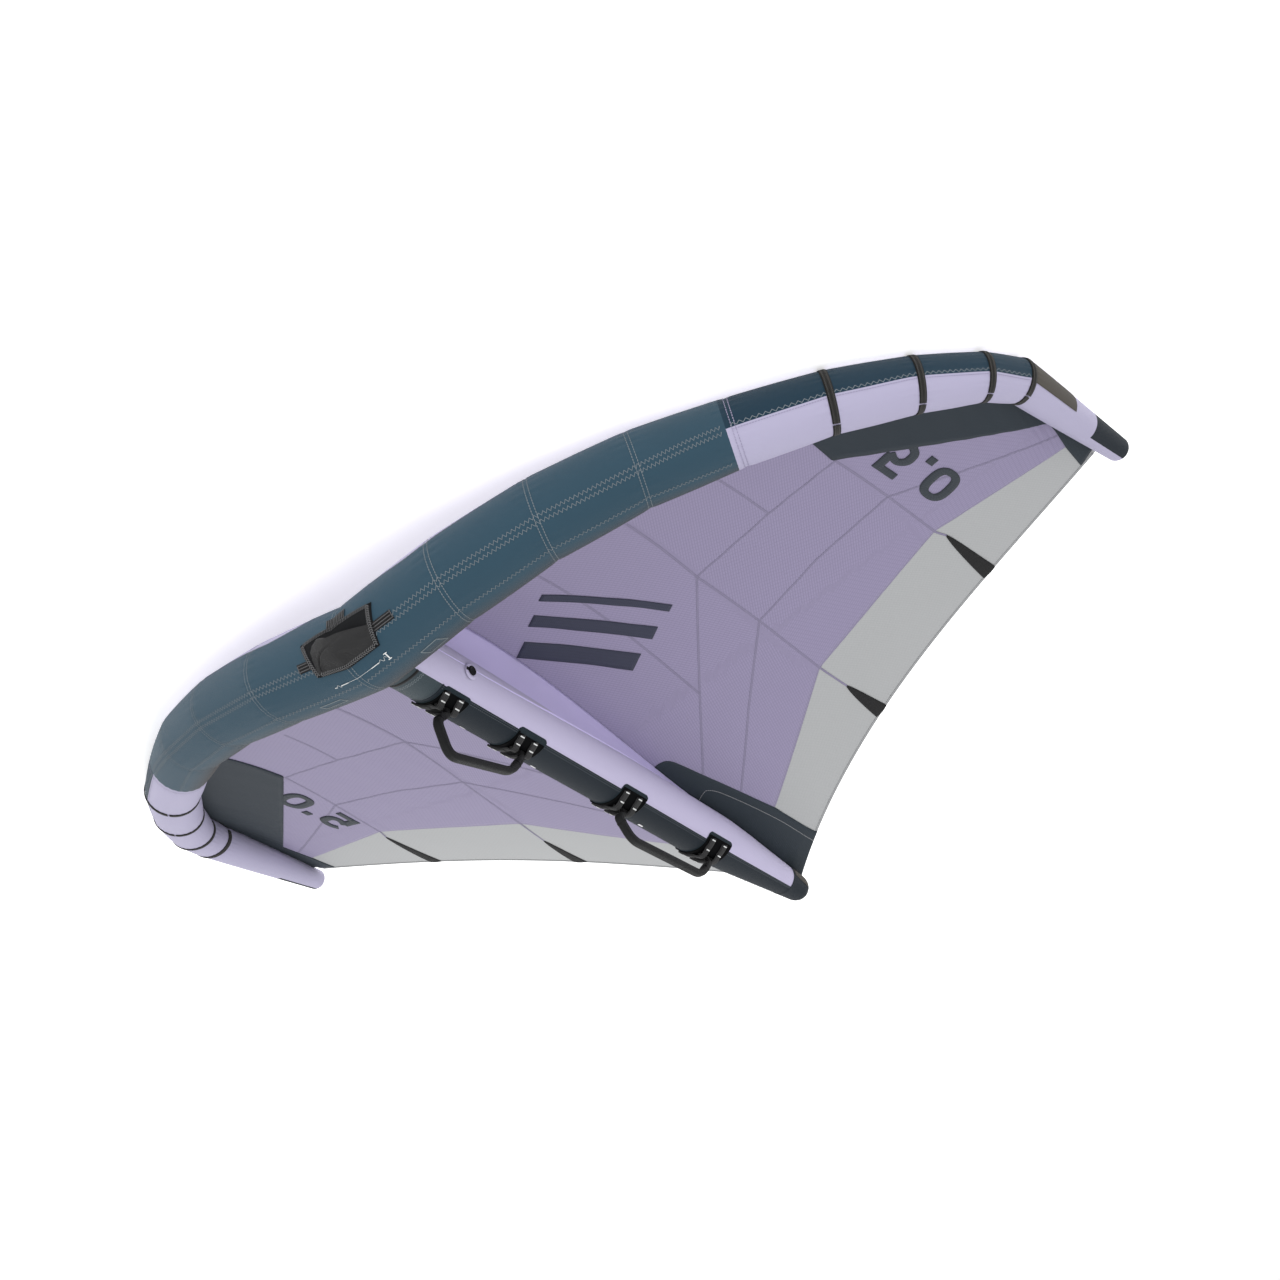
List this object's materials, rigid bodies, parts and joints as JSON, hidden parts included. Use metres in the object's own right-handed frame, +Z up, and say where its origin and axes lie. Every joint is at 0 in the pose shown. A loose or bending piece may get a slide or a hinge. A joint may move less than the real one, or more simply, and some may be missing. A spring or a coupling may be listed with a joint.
{
  "type": "wingfoil wing",
  "caption": "Inflatable hand-held wing for wing foiling: curved leading edge tube, central strut with two hard handles, and a ripstop canopy, lying on its back.",
  "frame": {"origin": "under the middle of the wing's box, on the ground it lies on", "axes": "+X along the span towards the wing's own left, seen in flight; +Y from the leading edge to the strut's tail; +Z up, from the canopy's flight top to the handles"},
  "size_m": [3.2836, 2.176, 0.9184],
  "materials": {
    "teal_sleeve": "tightly woven polyester sailcloth, matt",
    "lavender_sleeve": "tightly woven polyester sailcloth, matt",
    "dark_sleeve": "coated heavy polyester, matt",
    "black_webbing": "woven nylon webbing and neoprene",
    "lavender_ripstop": "thin ripstop nylon with a slight sheen",
    "grey_ripstop": "thin ripstop nylon, double layer",
    "white_cord": "braided polyester cord",
    "black_moulding": "moulded composite with a soft matt skin",
    "clear_bladder": "thin polyurethane film",
    "black_rubber": "soft moulded hose"
  },
  "bodies": {
    "wing": {"batten_left_1": "black_webbing", "batten_left_2": "black_webbing", "batten_right_1": "black_webbing", "batten_right_2": "black_webbing", "canopy_left": "lavender_ripstop", "canopy_right": "lavender_ripstop", "grip_flap": "black_webbing", "grip_patch": "black_webbing", "grip_webbing": "black_webbing", "handle_pad_1": "dark_sleeve", "handle_pad_2": "dark_sleeve", "handle_pad_3": "dark_sleeve", "handle_pad_4": "dark_sleeve", "handle_straps_1": "black_webbing", "handle_straps_2": "black_webbing", "handle_straps_3": "black_webbing", "handle_straps_4": "black_webbing", "inflation_hose": "black_rubber", "inflation_valve": "black_moulding", "leading_edge_bladder": "clear_bladder", "leading_edge_panel_center": "teal_sleeve", "leading_edge_panel_left_2": "teal_sleeve", "leading_edge_panel_left_3": "teal_sleeve", "leading_edge_panel_left_4": "teal_sleeve", "leading_edge_panel_left_5": "lavender_sleeve", "leading_edge_panel_left_6": "lavender_sleeve", "leading_edge_panel_left_7": "lavender_sleeve", "leading_edge_panel_left_8": "lavender_sleeve", "leading_edge_panel_right_2": "teal_sleeve", "leading_edge_panel_right_3": "teal_sleeve", "leading_edge_panel_right_4": "teal_sleeve", "leading_edge_panel_right_5": "lavender_sleeve", "leading_edge_panel_right_6": "lavender_sleeve", "leading_edge_panel_right_7": "lavender_sleeve", "leading_edge_panel_right_8": "lavender_sleeve", "leash_line": "white_cord", "seam_band_left_5": "black_webbing", "seam_band_left_6": "black_webbing", "seam_band_left_7": "black_webbing", "seam_band_left_8": "black_webbing", "seam_band_right_5": "black_webbing", "seam_band_right_6": "black_webbing", "seam_band_right_7": "black_webbing", "seam_band_right_8": "black_webbing", "strut_bladder": "clear_bladder", "strut_collar": "teal_sleeve", "strut_lower_panel": "dark_sleeve", "strut_tail_cap": "dark_sleeve", "strut_upper_panel": "lavender_sleeve", "strut_web_left": "lavender_sleeve", "strut_web_right": "lavender_sleeve", "trailing_edge_panel_left": "grey_ripstop", "trailing_edge_panel_right": "grey_ripstop", "wingtip_cap_left": "dark_sleeve", "wingtip_cap_right": "dark_sleeve", "wingtip_panel_left": "lavender_sleeve", "wingtip_panel_right": "lavender_sleeve"},
    "front_handle": {"front_handle": "black_moulding"},
    "back_handle": {"back_handle": "black_moulding"},
    "valve_cap": {"valve_cap": "black_moulding"}
  },
  "joints": [
    {"name": "front_handle_swing", "type": "hinge", "parent": "wing", "child": "front_handle", "pos_m": [0, -0.66345, 0.39612], "axis": [0, 0.9466, 0.3223], "range_deg": [-35, 35]},
    {"name": "back_handle_swing", "type": "hinge", "parent": "wing", "child": "back_handle", "pos_m": [0, 0.06597, 0.64308], "axis": [0, 0.9478, 0.3189], "range_deg": [-35, 35]},
    {"name": "valve_cap_hinge", "type": "hinge", "parent": "wing", "child": "valve_cap", "pos_m": [-0.08766, -0.64536, 0.31559], "axis": [0.1219, -0.3034, 0.945], "range_deg": [0, 120]}
  ]
}
